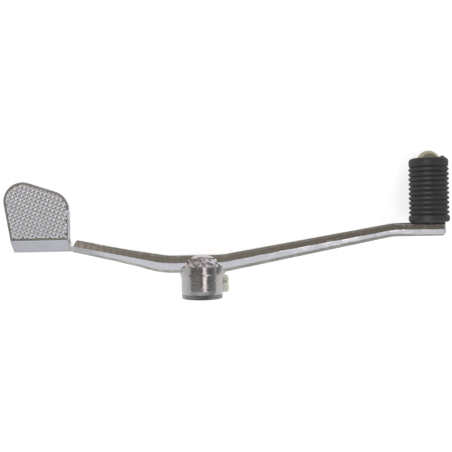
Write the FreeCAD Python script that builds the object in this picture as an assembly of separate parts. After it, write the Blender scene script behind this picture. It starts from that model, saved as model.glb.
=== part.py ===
import FreeCAD, Part
import math
import os
from FreeCAD import Vector

# Heel-toe gear shift lever. Millimetres. The origin is on the shaft bore's axis, level with the pinch bolt.
# X runs forward to the toe peg, Y outboard along the shaft, Z up.

# Arm, as a plan path: a straight length at the boss, two rising arms, and a toe tab
arm_offset = 15.3
rear_bend_reach = 24.8
front_bend_reach = 14.5
toe_bend_reach = 131.0
heel_rise = 12.4
toe_rise = 10.1
boss_bend_radius = 60.0
toe_bend_radius = 42.0
shoulder_reach = 86.7

# Arm section: width across in plan, depth in Z, at three places
boss_width = 12.3
boss_depth = 14.0
heel_width = 9.2
heel_depth = 11.5
toe_width = 9.5
toe_depth = 12.5
bevel_inboard = 2.2
bevel_outboard = 1.5
bevel_angle = 37.0
crown_angle = 9.0
crease_shift = 0.8
shoulder_chamfer = 1.3

# Toe end
toe_reach = 157.1
toe_overhang = 11.8
toe_end_round = 4.0
toe_edge_round = 3.4

# Heel pad, folded outboard from a web that carries on from the arm
plate_thickness = 5.0
fold_reach = 8.3
fold_slope = 26.0
fold_top_round = 1.5
fold_foot_round = 2.5
pad_front_reach = 89.4
fold_length = 39.1
pad_depth = 38.7
rear_slant = 9.7
top_slope = 18.5
pad_rear_round = 13.3
pad_front_round = 13.5
pad_edge_round = 1.4
neck_thickness = 4.1
neck_round = 1.6
web_set_in = 0.3
pad_drop = 0.5

# Chequer on the pad: crossing raised ridges
chequer_pitch = 4.1
chequer_angle = 25.3
ridge_height = 0.9
ridge_top = 0.5
ridge_base = 2.2
chequer_border = 1.7
chequer_set_back = 2.4
ridge_root = 0.3

# Clamp boss
boss_radius = 14.2
boss_inboard = 9.0
saddle_depth = 4.0
boss_edge_chamfer = 1.7
bore_radius = 6.0
bore_chamfer = 0.8
slit_width = 2.0
lug_half_width = 13.2
lug_round = 4.0
lug_wall = 3.3
lug_end_gap = 1.2
bolt_wall = 1.6

# Pinch bolt
bolt_radius = 4.0
bolt_length = 28.0
bolt_clearance = 0.25
thread_clearance = 0.02
bolt_tip_chamfer = 0.9
head_across_flats = 12.0
head_height = 5.5
head_turn = 20.0
head_chamfer_angle = 30.0
spot_face_clearance = 0.4

# Weld
weld_leg = 3.9
weld_side_leg = 2.5
weld_step = 3.7
weld_ripple = 0.35
weld_half_length = 11.0

# Toe peg and rubber
pin_radius = 5.5
tenon_radius = 3.0
rivet_radius = 3.7
rivet_depth = 1.0
peg_head_radius = 7.4
peg_dome_height = 5.3
rubber_length = 44.0
rubber_valley_radius = 11.6
rubber_ridge_radius = 13.35
rubber_ridges = 10
rubber_sides = 30
rubber_flange_length = 5.2
rubber_flange_radius = 13.6
rubber_lip_length = 6.2
rubber_lip_radius = 13.1
rubber_lip_round = 2.4
head_recess = 3.6
head_clearance = 0.15
nub_radius = 1.7
nub_height = 1.3
nub_reach = 8.1
nub_rise = 4.5

up = Vector(0, 0, 1)
outboard = Vector(0, 1, 0)


def rounded_wire(corners, place):
    """Closed wire through (u, v, radius) corners, each rounded by a tangent arc; place maps u, v to space."""
    ends = []
    edges = []
    count = len(corners)
    for i in range(count):
        u, v, radius = corners[i]
        here = Vector(u, v, 0)
        back = (Vector(*corners[i - 1][:2], 0) - here).normalize()
        ahead = (Vector(*corners[(i + 1) % count][:2], 0) - here).normalize()
        if radius == 0:
            ends.append((here, None, here))
            continue
        half = back.getAngle(ahead) / 2
        middle = (back + ahead).normalize()
        cut = radius / math.tan(half)
        crest = here + middle * (radius / math.sin(half) - radius)
        ends.append((here + back * cut, crest, here + ahead * cut))
    for i in range(count):
        first, crest, last = ends[i]
        if crest is not None:
            arc = Part.Arc(place(first.x, first.y), place(crest.x, crest.y), place(last.x, last.y))
            edges.append(arc.toShape())
        start = ends[(i + 1) % count][0]
        edges.append(Part.makeLine(place(last.x, last.y), place(start.x, start.y)))
    return Part.Wire(edges)


def prism(corners, place, travel):
    """Solid made by carrying a rounded outline along a straight travel."""
    return Part.Face(rounded_wire(corners, place)).extrude(travel)


def plan(z):
    """Maps an outline's u, v to X, Y at one height."""
    return lambda u, v: Vector(u, v, z)


def spun(profile, centre, axis):
    """Solid of revolution of a closed half profile."""
    return Part.Face(profile).revolve(centre, axis, 360)


def arm_section(point, heading, width, depth):
    """Arm section across the path: flat sides, bevelled corners, and a top and bottom crowned to a crease."""
    turn = math.radians(heading)
    across = Vector(-math.sin(turn), math.cos(turn), 0)
    half = width / 2
    fall = math.tan(math.radians(crown_angle))
    steep = math.tan(math.radians(bevel_angle))
    outer = half - bevel_outboard
    inner = half - bevel_inboard
    outer_top = depth / 2 - (outer - crease_shift) * fall
    inner_top = depth / 2 - (inner + crease_shift) * fall
    top = [
        (-half, inner_top - bevel_inboard * steep, 0),
        (-inner, inner_top, 0),
        (crease_shift, depth / 2, 0),
        (outer, outer_top, 0),
        (half, outer_top - bevel_outboard * steep, 0),
    ]
    bottom = [(u, -v, 0) for u, v, radius in reversed(top)]
    return rounded_wire(top + bottom, lambda u, v: point + across * u + up * v)


def straight_arm(start, end, heading, start_size, end_size):
    """Straight tapered length of arm."""
    sections = [arm_section(start, heading, *start_size), arm_section(end, heading, *end_size)]
    return Part.makeLoft(sections, True, True)


def arm_bend(start, heading, turn, radius, size):
    """Bend of constant section, and the point where it ends."""
    side = 1 if turn > 0 else -1
    angle = math.radians(heading)
    centre = start + Vector(-math.sin(angle), math.cos(angle), 0) * (radius * side)
    face = Part.Face(arm_section(start, heading, *size))
    end = FreeCAD.Rotation(up, turn).multVec(start - centre) + centre
    return face.revolve(centre, up, turn), end


def toe_line():
    """Y of the toe tab's centreline."""
    return arm_offset + (toe_bend_reach - front_bend_reach) * math.tan(math.radians(toe_rise))


def shoulder_point():
    """Centre of the arm's heel end, where the web takes over."""
    rise = (shoulder_reach - rear_bend_reach) * math.tan(math.radians(heel_rise))
    return Vector(-shoulder_reach, arm_offset + rise, 0)


def web_face():
    """Y of the web's inboard face, in line with the inboard edge of the arm's heel end."""
    return shoulder_point().y - heel_width / 2 / math.cos(math.radians(heel_rise)) + web_set_in


def toe_end_x():
    return toe_reach + toe_overhang


def bent_arm():
    """Bar from the heel shoulder to the toe end, before the pad is added."""
    heel_size = (heel_width, heel_depth)
    boss_size = (boss_width, boss_depth)
    toe_size = (toe_width, toe_depth)
    rear_cut = boss_bend_radius * math.tan(math.radians(heel_rise / 2))
    front_cut = boss_bend_radius * math.tan(math.radians(toe_rise / 2))
    toe_cut = toe_bend_radius * math.tan(math.radians(toe_rise / 2))
    fall = FreeCAD.Rotation(up, -heel_rise).multVec(Vector(1, 0, 0))
    climb = FreeCAD.Rotation(up, toe_rise).multVec(Vector(1, 0, 0))
    rear_corner = Vector(-rear_bend_reach, arm_offset, 0)
    front_corner = Vector(front_bend_reach, arm_offset, 0)
    toe_corner = Vector(toe_bend_reach, toe_line(), 0)
    rear_start = rear_corner - fall * rear_cut
    rear_bend, rear_end = arm_bend(rear_start, -heel_rise, heel_rise, boss_bend_radius, boss_size)
    front_start = front_corner - Vector(front_cut, 0, 0)
    front_bend, front_end = arm_bend(front_start, 0, toe_rise, boss_bend_radius, boss_size)
    toe_start = toe_corner - climb * toe_cut
    toe_bend, toe_end = arm_bend(toe_start, toe_rise, -toe_rise, toe_bend_radius, toe_size)
    tip = Vector(toe_end_x(), toe_end.y, 0)
    heel_arm = straight_arm(shoulder_point(), rear_start, -heel_rise, heel_size, boss_size)
    lengths = [
        rear_bend,
        straight_arm(rear_end, front_start, 0, boss_size, boss_size),
        front_bend,
        straight_arm(front_end, toe_start, toe_rise, boss_size, toe_size),
        toe_bend,
        toe_tab(toe_end, tip),
    ]
    return eased_shoulder(heel_arm).fuse(lengths).removeSplitter()


def eased_shoulder(heel_arm):
    """Heel arm with the edges of its end face broken."""
    end = shoulder_point()
    rim = [edge for edge in heel_arm.Edges if on_end_face(edge, end)]
    return heel_arm.makeChamfer(shoulder_chamfer, rim)


def on_end_face(edge, end):
    """True for an edge in the plane across the arm at its heel end."""
    along = FreeCAD.Rotation(up, -heel_rise).multVec(Vector(1, 0, 0))
    return all(abs((vertex.Point - end).dot(along)) < 1e-6 for vertex in edge.Vertexes)


def toe_tab(start, tip):
    """Straight tab at the toe end, rounded at its tip in side view and at its inboard corner in plan."""
    tab = straight_arm(start, tip, 0, (toe_width, toe_depth), (toe_width, toe_depth))
    half = toe_depth / 2
    below = [(start.x, -half, 0), (tip.x, -half, toe_end_round)]
    above = [(tip.x, half, toe_end_round), (start.x, half, 0)]
    inner, outer = toe_faces()
    top = [(start.x, inner, 0), (tip.x, inner, toe_edge_round), (tip.x, outer, 0), (start.x, outer, 0)]
    tab = tab.common(prism(below + above, lambda u, v: Vector(u, inner, v), outboard * toe_width))
    return tab.common(prism(top, plan(-half), up * toe_depth))


def pad_outline():
    """Plan outline of the pad, its web and the neck that joins the arm."""
    face = web_face()
    front = -pad_front_reach
    slant = math.tan(math.radians(rear_slant))
    slope = math.tan(math.radians(top_slope))
    below = face - fold_reach
    rear_below = front - fold_length + fold_reach * slant
    front_top = face + pad_depth
    # The rear edge u = rear - slant * (v - face) meets the top edge v = front_top + slope * (front - u)
    rear = front - fold_length
    rear_top = (front_top + slope * (front - rear - slant * face)) / (1 - slope * slant)
    rear_u = rear - slant * (rear_top - face)
    neck_end = -shoulder_reach + 2 * shoulder_chamfer
    return [
        (rear_below, below, 0),
        (rear_u, rear_top, pad_rear_round),
        (front, front_top, pad_front_round),
        (front, face + neck_thickness, neck_round),
        (neck_end, face + neck_thickness, 0),
        (neck_end, below, 0),
    ]


def pad_base():
    """Height of the pad's plain face, below the ridge tops."""
    return heel_depth / 2 - pad_drop


def folded_plate():
    """Web, sloping fold and pad as one bent plate, trimmed to its plan outline."""
    face = web_face()
    top = pad_base()
    reach = face + 2 * pad_depth
    far = -2 * pad_front_reach
    lean = math.radians(fold_slope)
    knee = top - fold_reach * math.tan(lean)
    inner_top = face + fold_reach + plate_thickness * math.tan(lean / 2)
    inner_knee = knee - plate_thickness * math.tan(math.pi / 4 - lean / 2)
    profile = [
        (face, -heel_depth / 2, 0),
        (face, knee, fold_foot_round),
        (face + fold_reach, top, fold_top_round),
        (reach, top, 0),
        (reach, top - plate_thickness, 0),
        (inner_top, top - plate_thickness, 0),
        (face + plate_thickness, inner_knee, 0),
        (face + plate_thickness, -heel_depth / 2, 0),
    ]
    plate = prism(profile, lambda u, v: Vector(far, u, v), Vector(-far, 0, 0))
    trim = prism(pad_outline(), plan(-heel_depth), Vector(0, 0, 2 * heel_depth))
    return plate.common(trim)


def chequer():
    """Raised field of crossing ridges: a slab with a square pit between each four crossings."""
    top = pad_base() + ridge_height
    bottom = pad_base() - ridge_root
    field = field_outline()
    slab = prism(field, plan(bottom), Vector(0, 0, top - bottom))
    box = slab.BoundBox
    steps = int(box.DiagonalLength / chequer_pitch / 2) + 1
    turn = FreeCAD.Rotation(up, chequer_angle)
    pit = ridge_pit(bottom, top)
    centre = Vector(box.Center.x, box.Center.y, 0)
    pits = []
    for i in range(-steps, steps + 1):
        for j in range(-steps, steps + 1):
            place = centre + turn.multVec(Vector(i * chequer_pitch, j * chequer_pitch, 0))
            pits.append(pit.translated(place))
    pits = [pit for pit in pits if pit.BoundBox.intersect(box)]
    return slab.cut(pits)


def ridge_pit(bottom, top):
    """Square pit between ridges, wider at the top, turned to the chequer's angle."""
    floor = (chequer_pitch - ridge_base) / 2
    mouth = (chequer_pitch - ridge_top) / 2
    slope = (mouth - floor) / ridge_height
    low = floor - slope * ridge_root
    high = mouth + slope * ridge_root
    pit = Part.makeWedge(-low, bottom, -low, -high, -high, low, top + ridge_root, low, high, high)
    pit.rotate(Vector(0, 0, 0), Vector(1, 0, 0), 90)
    pit.rotate(Vector(0, 0, 0), up, chequer_angle)
    return pit


def field_outline():
    """Pad outline drawn in by the plain border, set back from the fold."""
    rear_low, rear_top, front_top = pad_outline()[:3]
    inset = chequer_border
    slant = math.tan(math.radians(rear_slant))
    slope = math.tan(math.radians(top_slope))
    start = web_face() + fold_reach + chequer_set_back
    front = front_top[0] - inset
    top = front_top[1] - inset / math.cos(math.radians(top_slope)) + slope * inset
    rear_at_start = rear_low[0] - slant * (start - rear_low[1]) + inset / math.cos(math.radians(rear_slant))
    corner_v = (top + slope * (front - rear_at_start - slant * start)) / (1 - slope * slant)
    corner_u = rear_at_start - slant * (corner_v - start)
    return [
        (rear_at_start, start, 0),
        (corner_u, corner_v, pad_rear_round - inset),
        (front, top, pad_front_round - inset),
        (front, start, 0),
    ]


def lever_arm():
    """Forged bar and folded heel pad in one piece, with the hole that the peg is riveted in."""
    plate = folded_plate()
    rim = [edge for edge in plate.Edges if on_pad_rim(edge)]
    plate = plate.makeFillet(pad_edge_round, rim)
    arm = bent_arm().fuse([plate, chequer()])
    return arm.cut([tenon_hole(), rivet_seat()])


def on_pad_rim(edge):
    """True for the pad's upper outline edges, from the fold outward."""
    top = pad_base()
    start = web_face() + fold_reach + fold_top_round
    level = all(abs(vertex.Z - top) < 1e-6 for vertex in edge.Vertexes)
    return level and edge.CenterOfMass.y > start + 1e-3


def toe_faces():
    """Y of the toe tab's inboard and outboard faces."""
    return toe_line() - toe_width / 2, toe_line() + toe_width / 2


def tenon_hole():
    inner, outer = toe_faces()
    return Part.makeCylinder(tenon_radius, outer - inner, Vector(toe_reach, inner, 0), outboard)


def rivet_seat():
    """Countersink on the inboard face that the peened tail fills."""
    inner, outer = toe_faces()
    return Part.makeCone(rivet_radius, tenon_radius, rivet_depth, Vector(toe_reach, inner, 0), outboard)


def toe_peg():
    """Pin with a tenon peened flush at the inboard end and a domed head at the outboard end."""
    inner, outer = toe_faces()
    rim = outer + rubber_length
    seat = rim - head_recess
    crown = rim + peg_dome_height
    dome_radius = (peg_head_radius**2 + peg_dome_height**2) / 2 / peg_dome_height
    half_angle = math.asin(peg_head_radius / dome_radius) / 2

    def at(r, y):
        return Vector(toe_reach + r, y, 0)

    points = [
        at(0, inner),
        at(rivet_radius, inner),
        at(tenon_radius, inner + rivet_depth),
        at(tenon_radius, outer),
        at(pin_radius, outer),
        at(pin_radius, seat),
        at(peg_head_radius, seat),
        at(peg_head_radius, rim),
    ]
    edges = [Part.makeLine(points[i], points[i + 1]) for i in range(len(points) - 1)]
    bulge = at(dome_radius * math.sin(half_angle), crown - dome_radius * (1 - math.cos(half_angle)))
    edges.append(Part.Arc(at(peg_head_radius, rim), bulge, at(0, crown)).toShape())
    edges.append(Part.makeLine(at(0, crown), at(0, inner)))
    return spun(Part.Wire(edges), Vector(toe_reach, 0, 0), outboard)


def rubber_rings():
    """Radius and height of each ring of the sleeve: a flange at the arm, ridges, and a lip at the head."""
    pitch = (rubber_length - rubber_flange_length - rubber_lip_length) / rubber_ridges
    flange = rubber_flange_length
    rings = [(rubber_valley_radius, 0), (rubber_flange_radius, flange / 2), (rubber_valley_radius, flange)]
    for i in range(rubber_ridges):
        low = flange + i * pitch
        rings.append((rubber_ridge_radius, low + pitch / 2))
        rings.append((rubber_valley_radius, low + pitch))
    rings.append((rubber_lip_radius, rubber_length - rubber_lip_length * 2 / 3))
    rings.append((rubber_lip_radius, rubber_length - rubber_lip_length / 3))
    rings.append((rubber_lip_radius - rubber_lip_round, rubber_length))
    return rings


def flat_sided(rings, centre):
    """Solid of flat-sided rings stacked along Y, with a band of flats between each ring and the next."""
    turns = [2 * math.pi * i / rubber_sides for i in range(rubber_sides)]
    loops = []
    for radius, height in rings:
        loop = [centre + Vector(radius * math.cos(a), height, radius * math.sin(a)) for a in turns]
        loops.append(loop + loop[:1])
    faces = [Part.Face(Part.makePolygon(loops[0])), Part.Face(Part.makePolygon(loops[-1]))]
    for low, high in zip(loops, loops[1:]):
        for i in range(rubber_sides):
            faces.append(Part.Face(Part.makePolygon([low[i], low[i + 1], high[i + 1], high[i], low[i]])))
    return Part.Solid(Part.Shell(faces))


def peg_rubber():
    """Ridged sleeve in flats, to keep its facets few, bored for the pin and recessed for its head."""
    base = Vector(toe_reach, toe_faces()[1], 0)
    end = base + outboard * rubber_length
    nub = Part.makeCylinder(nub_radius, 2 * nub_height, end + Vector(nub_reach, -nub_height, nub_rise), outboard)
    bore = Part.makeCylinder(pin_radius, rubber_length, base, outboard)
    head = peg_head_radius + head_clearance
    recess = Part.makeCylinder(head, head_recess, end - outboard * head_recess, outboard)
    return flat_sided(rubber_rings(), base).fuse(nub).cut([bore, recess])


def bolt_drop():
    """Depth of the bolt's axis below the bore's axis."""
    return bore_radius + bolt_wall + bolt_radius + bolt_clearance


def head_corner():
    """Radius to the corners of the bolt's hex head."""
    return head_across_flats / math.sqrt(3)


def boss_ends():
    """Y of the saddle's floor against the arm, and of the boss's outboard end."""
    saddle = arm_offset - boss_width / 2
    return saddle, saddle + saddle_depth


def boss_barrel():
    length = boss_inboard + boss_ends()[1]
    return Part.makeCylinder(boss_radius, length, Vector(0, -boss_inboard, 0), outboard)


def clamp_boss(arm):
    """Turned boss with a lug block below, slit from the bore down, and an end saddled over the arm."""
    saddle, end = boss_ends()
    length = boss_inboard + end
    barrel = boss_barrel()
    lug_floor = -(bolt_drop() + bolt_radius + bolt_clearance + lug_wall)
    lug_length = boss_inboard + saddle - lug_end_gap
    lug = [
        (-lug_half_width, lug_floor, lug_round),
        (lug_half_width, lug_floor, lug_round),
        (lug_half_width, 0, 0),
        (-lug_half_width, 0, 0),
    ]
    block = prism(lug, lambda u, v: Vector(u, -boss_inboard, v), outboard * lug_length)
    rim = [edge for edge in barrel.Edges if abs(edge.BoundBox.YMax + boss_inboard) < 1e-6]
    body = barrel.makeChamfer(boss_edge_chamfer, rim).fuse(block)
    bore = Part.makeCylinder(bore_radius, boss_inboard + saddle, Vector(0, -boss_inboard, 0), outboard)
    mouth = bore_radius + bore_chamfer
    flare = Part.makeCone(mouth, bore_radius, bore_chamfer, Vector(0, -boss_inboard, 0), outboard)
    corner = Vector(-slit_width / 2, -boss_inboard, lug_floor)
    slit = Part.makeBox(slit_width, length, -lug_floor, corner)
    across = Vector(1, 0, 0)
    tap_radius = bolt_radius + thread_clearance
    tapped = Part.makeCylinder(tap_radius, lug_half_width, Vector(-lug_half_width, 0, -bolt_drop()), across)
    clear_radius = bolt_radius + bolt_clearance
    clear = Part.makeCylinder(clear_radius, lug_half_width, Vector(0, 0, -bolt_drop()), across)
    spot = head_corner() + spot_face_clearance
    spot_face = Part.makeCylinder(spot, boss_radius, Vector(lug_half_width, 0, -bolt_drop()), across)
    return body.cut([bore, flare, slit, tapped, clear, spot_face, arm]).removeSplitter()


def pinch_bolt():
    """Hex bolt through the lugs, its head on the front face."""
    seat = lug_half_width
    tip = seat - bolt_length
    across = Vector(1, 0, 0)
    axis = Vector(0, 0, -bolt_drop())
    corner = head_corner()
    ring = []
    for i in range(6):
        angle = math.radians(head_turn + 60 * i)
        ring.append((corner * math.cos(angle), corner * math.sin(angle), 0))
    head = prism(ring, lambda u, v: axis + Vector(seat, u, v), across * head_height)
    fall = (corner - head_across_flats / 2) * math.tan(math.radians(head_chamfer_angle))
    tall = corner * math.tan(math.radians(head_chamfer_angle))
    base = Part.makeCylinder(corner, head_height - fall, axis + Vector(seat, 0, 0), across)
    crown = Part.makeCone(corner, 0, tall, axis + Vector(seat + head_height - fall, 0, 0), across)
    head = head.common(base.fuse(crown))
    shank_start = axis + Vector(tip + bolt_tip_chamfer, 0, 0)
    shank = Part.makeCylinder(bolt_radius, bolt_length - bolt_tip_chamfer, shank_start, across)
    point_radius = bolt_radius - bolt_tip_chamfer
    point = Part.makeCone(point_radius, bolt_radius, bolt_tip_chamfer, axis + Vector(tip, 0, 0), across)
    return head.fuse([shank, point]).removeSplitter()


def weld_run(start, end, radius):
    """Bead along one seam, as a row of round ripples that swell and shrink in turn."""
    span = end - start
    steps = max(1, round(span.Length / weld_step))
    pitch = span.Length / steps
    ripples = []
    for i in range(steps):
        swell = radius - weld_ripple * (i % 2)
        ripples.append(Part.makeCylinder(swell, pitch, start + span * (i / steps), span))
    return ripples


def boss_weld(arm, boss):
    """Beads above and below the arm on the boss's end, and down both sides of the saddle."""
    saddle, seam = boss_ends()
    ripples = []
    for side in (1, -1):
        rear = Vector(-weld_half_length, seam, side * boss_depth / 2)
        ripples += weld_run(rear, Vector(-rear.x, rear.y, rear.z), weld_leg)
        low = Vector(side * boss_radius, saddle, -boss_depth / 4)
        ripples += weld_run(low, Vector(low.x, low.y, -low.z), weld_side_leg)
    bead = ripples[0].fuse(ripples[1:])
    return bead.cut([arm, boss, boss_barrel()])


def main():
    os.makedirs("parts", exist_ok=True)
    arm = lever_arm()
    boss = clamp_boss(arm)
    nodes = {
        "lever_arm": arm,
        "clamp_boss": boss,
        "boss_weld": boss_weld(arm, boss),
        "toe_peg": toe_peg(),
        "peg_rubber": peg_rubber(),
        "pinch_bolt": pinch_bolt(),
    }
    for name, shape in nodes.items():
        shape.exportStep("parts/" + name + ".step")
        print(name, len(shape.Solids), shape.isValid(), round(shape.Volume, 1))


main()
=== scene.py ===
import math
import bpy
import numpy as np
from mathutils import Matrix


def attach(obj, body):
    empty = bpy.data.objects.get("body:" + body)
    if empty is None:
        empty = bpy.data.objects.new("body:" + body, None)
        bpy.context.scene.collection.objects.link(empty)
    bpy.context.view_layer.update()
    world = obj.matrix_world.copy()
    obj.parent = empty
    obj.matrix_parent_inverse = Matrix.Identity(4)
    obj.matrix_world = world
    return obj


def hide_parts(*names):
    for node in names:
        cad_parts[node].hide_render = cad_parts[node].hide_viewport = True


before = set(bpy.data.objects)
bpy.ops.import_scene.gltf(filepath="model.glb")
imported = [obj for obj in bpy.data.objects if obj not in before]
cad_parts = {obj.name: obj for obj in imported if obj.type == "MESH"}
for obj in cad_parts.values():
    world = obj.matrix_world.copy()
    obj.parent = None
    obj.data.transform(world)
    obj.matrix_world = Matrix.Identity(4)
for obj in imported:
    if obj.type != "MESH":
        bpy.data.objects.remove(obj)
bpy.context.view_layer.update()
print("frame loaded:", ", ".join(sorted(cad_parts)))

mm = 0.001  # sizes of pieces are in millimetres, as in the CAD
pole = 0.02  # radius at which a turned profile stops short of its axis
tiny = 1e-6  # radius of a corner left sharp, and a guard against dividing by nothing
noTris = np.zeros((0, 3), int)


# mesh helpers

def gridQuads(rows, cols, wrapRows=False, wrapCols=False):
    # quads of a rows x cols point grid, optionally joined back on itself
    i = np.arange(rows if wrapRows else rows - 1)[:, None]
    j = np.arange(cols if wrapCols else cols - 1)[None, :]
    up = (i + 1) % rows
    on = (j + 1) % cols
    quads = np.stack([i * cols + j, up * cols + j, up * cols + on, i * cols + on], -1)
    return quads.reshape(-1, 4)


def signedVolume(points, faces):
    # six times the enclosed volume: a times (b cross c) added up over triangles, negative if they face inward
    a, b, c = (points[faces[:, k]] for k in (0, 1, 2))
    volume = np.einsum("ij,ij->i", a, np.cross(b, c)).sum()
    if faces.shape[1] == 4:
        d = points[faces[:, 3]]
        volume += np.einsum("ij,ij->i", a, np.cross(c, d)).sum()
    return volume


def closedTube(grid):
    # grid is stations x around x 3; closed round the section, with a fan to a middle point at each end
    rows, cols = grid.shape[:2]
    points = np.concatenate([grid.reshape(-1, 3), grid[:1].mean(1), grid[-1:].mean(1)])
    j = np.arange(cols)
    on = (j + 1) % cols
    first = np.stack([np.full(cols, rows * cols), j, on], -1)
    last = np.stack([np.full(cols, rows * cols + 1), (rows - 1) * cols + on, (rows - 1) * cols + j], -1)
    return points, gridQuads(rows, cols, wrapCols=True), np.concatenate([first, last])


def closedRing(grid):
    # grid closed both ways, for a sleeve
    return grid.reshape(-1, 3), gridQuads(*grid.shape[:2], True, True), noTris


def slab(outer, inner):
    # two matching grids stitched together round their four sides
    rows, cols = outer.shape[:2]
    count = rows * cols
    points = np.concatenate([outer.reshape(-1, 3), inner.reshape(-1, 3)])
    quads = gridQuads(rows, cols)
    i, j = np.arange(rows), np.arange(cols)
    ring = np.concatenate([j, i[1:] * cols + cols - 1, (rows - 1) * cols + j[::-1][1:], i[::-1][1:-1] * cols])
    on = np.roll(ring, -1)
    walls = np.stack([ring, on, on + count, ring + count], -1)
    return points, np.concatenate([quads[:, ::-1], quads + count, walls]), noTris


def makePiece(name, shells, material, node, sharp=None):
    # joins closed shells into one mesh object that rides on the frame and stands for a CAD node;
    # a shell whose volume comes out negative has its faces turned round
    verts, faces, offset = [], [], 0
    for points, quads, tris in shells:
        if signedVolume(points, quads) + signedVolume(points, tris) < 0:
            quads, tris = quads[:, ::-1], tris[:, ::-1]
        verts.append(points)
        faces += (quads + offset).tolist() + (tris + offset).tolist()
        offset += len(points)
    mesh = bpy.data.meshes.new(name)
    mesh.from_pydata((np.concatenate(verts) * mm).tolist(), [], faces)
    mesh.polygons.foreach_set("use_smooth", np.ones(len(mesh.polygons), bool))
    if sharp:
        mesh.set_sharp_from_angle(angle=math.radians(sharp))
    mesh.materials.append(material)
    mesh.update()
    piece = bpy.data.objects.new(name, mesh)
    bpy.context.scene.collection.objects.link(piece)
    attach(piece, "root")
    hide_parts(node)
    print("piece", name, len(mesh.polygons), "faces")


def revolve(radius, along, centre, turns):
    # profile radius(along) carried round an axis along Y; the turn runs on the second grid index
    angle = np.linspace(0, 2 * np.pi, turns, endpoint=False)[None, :]
    r, a = radius[:, None], along[:, None] + 0 * angle
    return np.stack([centre[0] + r * np.cos(angle), centre[1] + a, centre[2] + r * np.sin(angle)], -1)


def quarterRound(distance, radius):
    # how far a surface has dropped at a distance from its end, where a quarter circle rounds the end off
    short = radius - np.clip(distance, 0, radius)
    return radius - np.sqrt(radius ** 2 - short ** 2)


rippleSizes = {"waves": 6, "fade": 0.5, "turn": 6.28, "level": 2.6}


def ripple(x, y, seed, size, s=rippleSizes):
    # smooth wander, between about -1 and 1: sines of unlike lengths and headings, each fainter than the last
    rng = np.random.default_rng(seed)
    total = 0
    for k in range(s["waves"]):
        a, b = rng.normal(size=2)
        start = rng.uniform(0, s["turn"])
        total = total + np.sin((a * x + b * y) * 2 * np.pi / size + start) / (1 + s["fade"] * k)
    return total / s["level"]


def roundedLoop(corners, radii, perArc, perSide):
    # closed loop for each station: an arc in every corner, then evenly spaced points to the next arc;
    # corners is stations x corners x 2, radii is stations x corners
    count = corners.shape[1]
    arcs = []
    for k in range(count):
        here = corners[:, k]
        back = corners[:, k - 1] - here
        ahead = corners[:, (k + 1) % count] - here
        back = back / np.linalg.norm(back, axis=1, keepdims=True)
        ahead = ahead / np.linalg.norm(ahead, axis=1, keepdims=True)
        half = np.arccos(np.clip((back * ahead).sum(1), -1, 1)) / 2
        middle = back + ahead
        middle = middle / np.linalg.norm(middle, axis=1, keepdims=True)
        r = radii[:, k]
        centre = here + middle * (r / np.sin(half))[:, None]
        turn = np.linspace(-1, 1, perArc)[None, :] * (np.pi / 2 - half)[:, None]
        sideways = np.stack([-middle[:, 1], middle[:, 0]], -1)
        sign = np.sign((sideways * ahead).sum(1))[:, None]
        arcs.append(centre[:, None, :] - middle[:, None, :] * (r[:, None] * np.cos(turn))[..., None]
                    + sideways[:, None, :] * (sign * r[:, None] * np.sin(turn))[..., None])
    loops = []
    t = np.linspace(0, 1, perSide + 2)[1:-1][None, :, None]
    for k in range(count):
        start, end = arcs[k][:, -1:, :], arcs[(k + 1) % count][:, :1, :]
        loops += [arcs[k], start + (end - start) * t]
    return np.concatenate(loops, 1)


# finish helpers

def newFinish(name):
    # an empty material with its node tree and its shader
    finish = bpy.data.materials.new(name)
    finish.use_nodes = True
    tree = finish.node_tree
    return finish, tree, tree.nodes["Principled BSDF"]


def addNode(tree, kind, **settings):
    # a new node of one kind, with its settings
    node = tree.nodes.new(kind)
    for key, value in settings.items():
        setattr(node, key, value)
    return node


def objectPlace(tree):
    # the shaded point in its object's own coordinates, in metres
    return addNode(tree, "ShaderNodeTexCoord").outputs["Object"]


def axes(tree, vector):
    # a vector taken apart into X, Y and Z
    split = addNode(tree, "ShaderNodeSeparateXYZ")
    tree.links.new(vector, split.inputs["Vector"])
    return split.outputs


def objectNoise(tree, scale, stretch=(1, 1, 1), detail=4.0, rough=0.6):
    # noise on object coordinates, stretched along an axis for scratches
    mapping = addNode(tree, "ShaderNodeMapping")
    mapping.inputs["Scale"].default_value = stretch
    noise = addNode(tree, "ShaderNodeTexNoise")
    for socket, number in (("Scale", scale), ("Detail", detail), ("Roughness", rough)):
        noise.inputs[socket].default_value = number
    tree.links.new(objectPlace(tree), mapping.inputs["Vector"])
    tree.links.new(mapping.outputs["Vector"], noise.inputs["Vector"])
    return noise.outputs["Fac"]


def objectCells(tree, scale):
    # distance to the nearest of many scattered points, on object coordinates, for pits
    cells = addNode(tree, "ShaderNodeTexVoronoi", feature="F1")
    cells.inputs["Scale"].default_value = scale
    tree.links.new(objectPlace(tree), cells.inputs["Vector"])
    return cells.outputs["Distance"]


def spread(tree, value, low, high, outLow, outHigh):
    # straight map of one range onto another, held at both ends
    span = addNode(tree, "ShaderNodeMapRange")
    for socket, number in zip(("From Min", "From Max", "To Min", "To Max"), (low, high, outLow, outHigh)):
        span.inputs[socket].default_value = number
    tree.links.new(value, span.inputs["Value"])
    return span.outputs["Result"]


def combine(tree, one, two, operation):
    # one number made of two: their product, sum, larger one or angle
    both = addNode(tree, "ShaderNodeMath", operation=operation)
    tree.links.new(one, both.inputs[0])
    tree.links.new(two, both.inputs[1])
    return both.outputs[0]


def within(tree, value, limits):
    # 0 outside and 1 inside: a rise between the first two limits times a fall between the last two
    rise = spread(tree, value, *limits[:2], 0.0, 1.0)
    return combine(tree, rise, spread(tree, value, *limits[2:], 1.0, 0.0), "MULTIPLY")


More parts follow.
